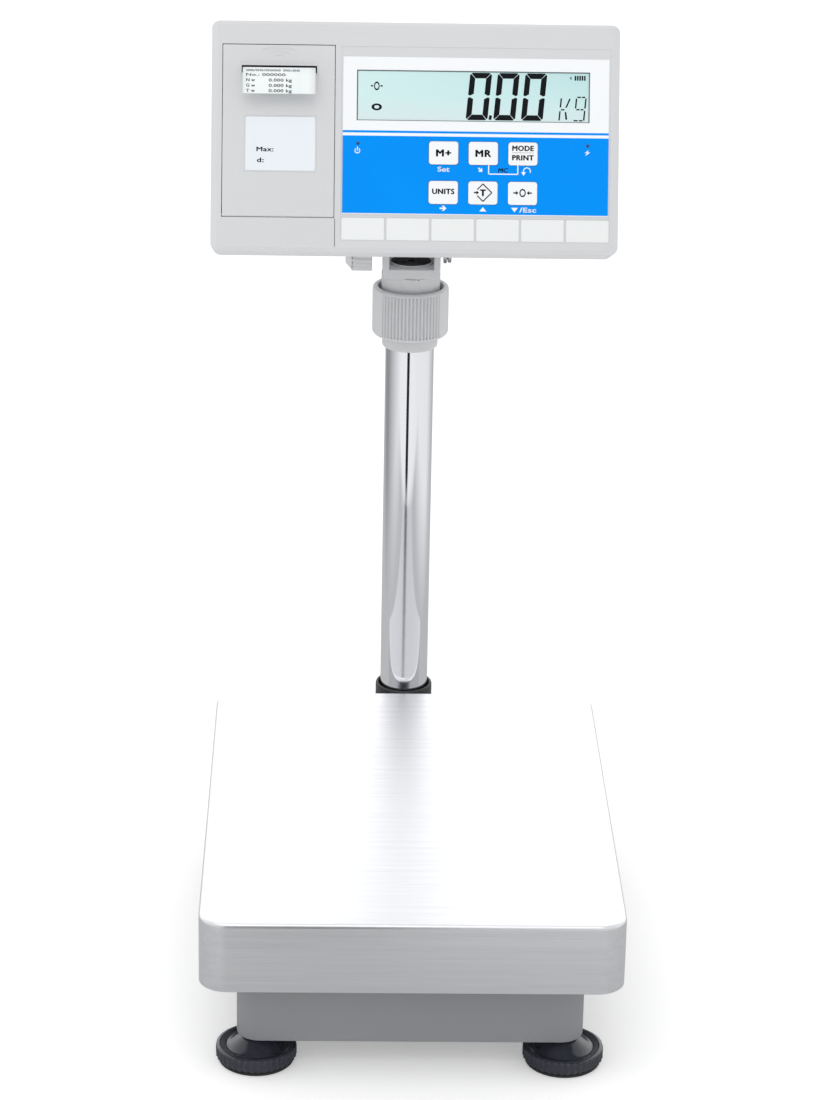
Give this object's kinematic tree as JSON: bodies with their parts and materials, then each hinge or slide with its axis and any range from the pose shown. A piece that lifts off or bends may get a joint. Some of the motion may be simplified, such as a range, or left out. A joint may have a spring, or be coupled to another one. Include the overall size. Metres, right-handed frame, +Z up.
{
  "type": "bench scale",
  "caption": "Bench weighing scale with a stainless platform on levelling feet, a rear column, and a tilting keypad indicator with a slip printer.",
  "frame": {"origin": "on the bench, directly under the centre of the weighing pan", "axes": "+X to the user's right, +Y away from the user towards the column, +Z up"},
  "size_m": [0.3046, 0.462, 0.6725],
  "materials": {
    "stainless": "brushed along its length, satin",
    "base_paint": "fine-textured grey powder coat",
    "frame_paint": "dark grey powder coat",
    "zinc_steel": "bright zinc plate",
    "cell_alloy": "machined, clear anodised",
    "chrome_tube": "polished chrome plate",
    "foot_plastic": "moulded, semi-gloss",
    "black_plastic": "moulded, fine texture",
    "black_rubber": "matt",
    "cable_jacket": "smooth PVC",
    "level_vial": "clear with a green fluid",
    "housing_grey": "fine spark-eroded texture",
    "collar_grey": "moulded, smooth",
    "overlay_film": "printed satin film, white and blue",
    "display_glass": "clear window over a reflective liquid-crystal panel",
    "key_plastic": "embossed film over a snap dome",
    "circuit_board": "green solder mask",
    "battery_wrap": "shrink wrap",
    "port_shell": "nickel plate",
    "printer_plastic": "moulded",
    "roller_rubber": "ground matt",
    "pinion_brass": "machined",
    "thermal_paper": "smooth coated thermal paper"
  },
  "bodies": {
    "base": {"base_housing": "base_paint", "cross_member": "frame_paint", "corner_plates": "frame_paint", "load_cell": "cell_alloy", "lower_spacer": "cell_alloy", "base_bolts": "zinc_steel", "overload_stops": "zinc_steel", "spirit_level": "level_vial", "pillar_bracket": "base_paint", "column_socket": "base_paint", "column_bush": "black_plastic", "column": "chrome_tube", "load_cell_cable": "cable_jacket"},
    "platform": {"upper_spacer": "cell_alloy", "platform_frame": "frame_paint", "platform_bolts": "zinc_steel", "pan_bumpers": "black_rubber"},
    "pan": {"pan": "stainless"},
    "sole_front_left": {"foot_sole_front_left": "black_rubber"},
    "foot_front_left": {"foot_front_left": "foot_plastic"},
    "sole_front_right": {"foot_sole_front_right": "black_rubber"},
    "foot_front_right": {"foot_front_right": "foot_plastic"},
    "sole_back_left": {"foot_sole_back_left": "black_rubber"},
    "foot_back_left": {"foot_back_left": "foot_plastic"},
    "sole_back_right": {"foot_sole_back_right": "black_rubber"},
    "foot_back_right": {"foot_back_right": "foot_plastic"},
    "swivel": {"swivel_head": "collar_grey", "cable_grommet": "black_rubber"},
    "ferrule": {"clamp_ferrule": "collar_grey"},
    "nut": {"locking_nut": "collar_grey"},
    "indicator": {"tilt_bracket": "zinc_steel", "indicator_screws": "zinc_steel", "tilt_bolt": "zinc_steel", "rear_cover": "housing_grey", "front_bezel": "housing_grey", "overlay": "overlay_film", "display_window": "display_glass", "display_module": "circuit_board", "key_board": "circuit_board", "main_board": "circuit_board", "battery_pack": "battery_wrap", "power_inlet": "black_plastic", "serial_port": "port_shell", "printer_frame": "printer_plastic", "print_head": "printer_plastic", "printer_motor": "port_shell"},
    "knob_washer": {"tilt_washer": "zinc_steel"},
    "knob": {"tilt_knob": "collar_grey"},
    "power_rocker": {"power_switch": "black_plastic"},
    "printer_door": {"paper_door": "housing_grey", "paper_slip": "thermal_paper"},
    "platen": {"platen_roller": "roller_rubber"},
    "pinion": {"motor_pinion": "pinion_brass"},
    "roll": {"paper_roll": "thermal_paper"},
    "key_1": {"key_1": "key_plastic"},
    "key_2": {"key_2": "key_plastic"},
    "key_3": {"key_3": "key_plastic"},
    "key_4": {"key_4": "key_plastic"},
    "key_5": {"key_5": "key_plastic"},
    "key_6": {"key_6": "key_plastic"}
  },
  "joints": [
    {"name": "load_travel", "type": "slide", "parent": "base", "child": "platform", "axis": [0, 0, 1], "range_m": [-0.00075, 0], "stiffness_N_per_m": 600000, "deforming": ["load_cell"]},
    {"name": "pan_lift", "type": "slide", "parent": "platform", "child": "pan", "axis": [0, 0, 1], "range_m": [0, 0.08]},
    {"name": "front_left_foot_height", "type": "slide", "parent": "base", "child": "sole_front_left", "axis": [0, 0, 1], "range_m": [-0.012, 0]},
    {"name": "front_left_foot_turn", "type": "hinge", "parent": "sole_front_left", "child": "foot_front_left", "pos_m": [-0.11, -0.16, 0.008], "axis": [0, 0, 1], "range_deg": [-2881, 1]},
    {"name": "front_right_foot_height", "type": "slide", "parent": "base", "child": "sole_front_right", "axis": [0, 0, 1], "range_m": [-0.012, 0]},
    {"name": "front_right_foot_turn", "type": "hinge", "parent": "sole_front_right", "child": "foot_front_right", "pos_m": [0.11, -0.16, 0.008], "axis": [0, 0, 1], "range_deg": [-2881, 1]},
    {"name": "back_left_foot_height", "type": "slide", "parent": "base", "child": "sole_back_left", "axis": [0, 0, 1], "range_m": [-0.012, 0]},
    {"name": "back_left_foot_turn", "type": "hinge", "parent": "sole_back_left", "child": "foot_back_left", "pos_m": [-0.11, 0.16, 0.008], "axis": [0, 0, 1], "range_deg": [-2881, 1]},
    {"name": "back_right_foot_height", "type": "slide", "parent": "base", "child": "sole_back_right", "axis": [0, 0, 1], "range_m": [-0.012, 0]},
    {"name": "back_right_foot_turn", "type": "hinge", "parent": "sole_back_right", "child": "foot_back_right", "pos_m": [0.11, 0.16, 0.008], "axis": [0, 0, 1], "range_deg": [-2881, 1]},
    {"name": "column_swivel", "type": "hinge", "parent": "base", "child": "swivel", "pos_m": [0, 0.232, 0.47], "axis": [0, 0, 1], "range_deg": [-170, 170]},
    {"name": "ferrule_slide", "type": "slide", "parent": "swivel", "child": "ferrule", "axis": [0, 0, 1], "range_m": [-0.003, 0]},
    {"name": "nut_turn", "type": "hinge", "parent": "ferrule", "child": "nut", "pos_m": [0, 0.232, 0.44], "axis": [0, 0, 1], "range_deg": [-361, 1]},
    {"name": "head_tilt", "type": "hinge", "parent": "swivel", "child": "indicator", "pos_m": [0, 0.232, 0.489], "axis": [1, 0, 0], "range_deg": [-40, 20]},
    {"name": "knob_slide", "type": "slide", "parent": "indicator", "child": "knob_washer", "axis": [-1, 0, 0], "range_m": [0, 0.0015]},
    {"name": "knob_turn", "type": "hinge", "parent": "knob_washer", "child": "knob", "pos_m": [-0.04, 0.232, 0.489], "axis": [-1, 0, 0], "range_deg": [-1, 541]},
    {"name": "key_1_press", "type": "slide", "parent": "indicator", "child": "key_1", "axis": [0, 0.9397, -0.342], "range_m": [0, 0.0005], "stiffness_N_per_m": 800, "springref_m": -0.0006},
    {"name": "key_2_press", "type": "slide", "parent": "indicator", "child": "key_2", "axis": [0, 0.9397, -0.342], "range_m": [0, 0.0005], "stiffness_N_per_m": 800, "springref_m": -0.0006},
    {"name": "key_3_press", "type": "slide", "parent": "indicator", "child": "key_3", "axis": [0, 0.9397, -0.342], "range_m": [0, 0.0005], "stiffness_N_per_m": 800, "springref_m": -0.0006},
    {"name": "key_4_press", "type": "slide", "parent": "indicator", "child": "key_4", "axis": [0, 0.9397, -0.342], "range_m": [0, 0.0005], "stiffness_N_per_m": 800, "springref_m": -0.0006},
    {"name": "key_5_press", "type": "slide", "parent": "indicator", "child": "key_5", "axis": [0, 0.9397, -0.342], "range_m": [0, 0.0005], "stiffness_N_per_m": 800, "springref_m": -0.0006},
    {"name": "key_6_press", "type": "slide", "parent": "indicator", "child": "key_6", "axis": [0, 0.9397, -0.342], "range_m": [0, 0.0005], "stiffness_N_per_m": 800, "springref_m": -0.0006},
    {"name": "power_switch_rock", "type": "hinge", "parent": "indicator", "child": "power_rocker", "pos_m": [0.09, 0.20351, 0.51855], "axis": [1, 0, 0], "range_deg": [-8, 8]},
    {"name": "paper_door_open", "type": "hinge", "parent": "indicator", "child": "printer_door", "pos_m": [-0.1021, 0.15089, 0.53771], "axis": [1, 0, 0], "range_deg": [0, 95]},
    {"name": "platen_turn", "type": "hinge", "parent": "printer_door", "child": "platen", "pos_m": [-0.1, 0.19633, 0.63184], "axis": [1, 0, 0], "continuous": true},
    {"name": "motor_turn", "type": "hinge", "parent": "indicator", "child": "pinion", "pos_m": [-0.06, 0.19944, 0.62329], "axis": [1, 0, 0], "continuous": true},
    {"name": "roll_turn", "type": "hinge", "parent": "indicator", "child": "roll", "pos_m": [-0.1, 0.19315, 0.57341], "axis": [1, 0, 0], "continuous": true}
  ],
  "couplings": [
    {"joint": "front_left_foot_turn", "follows": "front_left_foot_height", "rad_per_m": 4188.8},
    {"joint": "front_right_foot_turn", "follows": "front_right_foot_height", "rad_per_m": 4188.8},
    {"joint": "back_left_foot_turn", "follows": "back_left_foot_height", "rad_per_m": 4188.8},
    {"joint": "back_right_foot_turn", "follows": "back_right_foot_height", "rad_per_m": 4188.8},
    {"joint": "nut_turn", "follows": "ferrule_slide", "rad_per_m": 2094.4},
    {"joint": "knob_turn", "follows": "knob_slide", "rad_per_m": 6283.2},
    {"joint": "motor_turn", "follows": "platen_turn", "ratio": -2}
  ]
}
